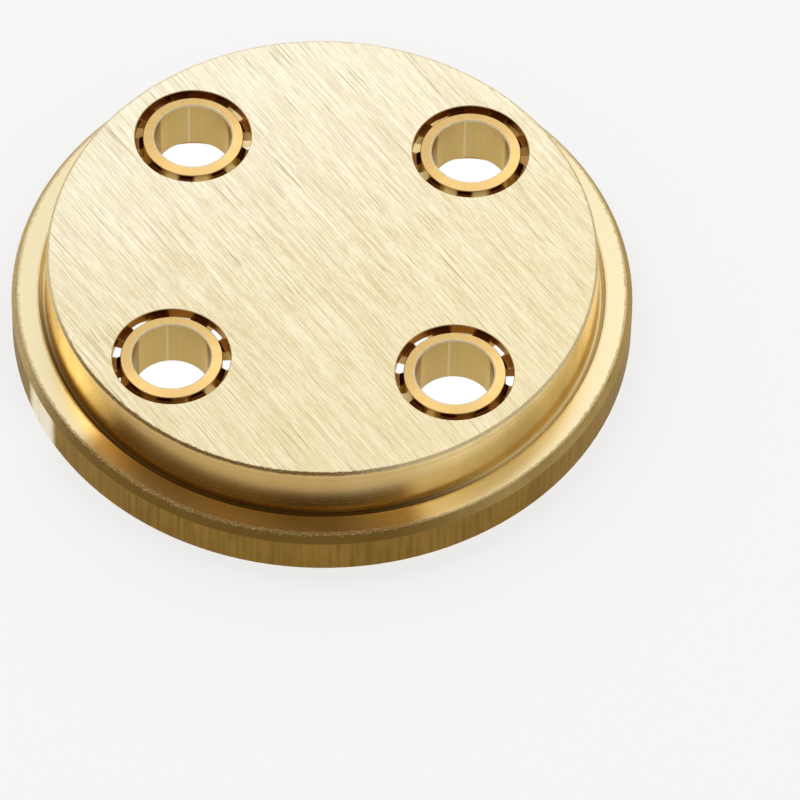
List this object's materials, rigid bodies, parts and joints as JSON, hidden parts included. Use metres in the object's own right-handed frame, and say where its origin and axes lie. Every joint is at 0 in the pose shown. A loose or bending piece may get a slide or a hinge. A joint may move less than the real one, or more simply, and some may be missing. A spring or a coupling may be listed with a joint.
{
  "type": "pasta extrusion die",
  "caption": "Round brass pasta die with a raised exit face, a clamping flange and hollow cores held by toothed crowns, for extruding smooth pasta tubes.",
  "frame": {"origin": "centre of the flat back face, which the die stands on", "axes": "+Z out of the exit face, +X to the right and -Y to the front in the picture's view; the exit holes lie on the diagonals"},
  "size_m": [0.0566, 0.0566, 0.0099],
  "materials": {
    "plate_brass": "brushed face, turned rim",
    "insert_brass": "turned, satin"
  },
  "bodies": {
    "root": {"die_plate": "plate_brass", "insert_rear_left": "insert_brass", "insert_rear_right": "insert_brass", "insert_front_left": "insert_brass", "insert_front_right": "insert_brass"}
  },
  "joints": []
}
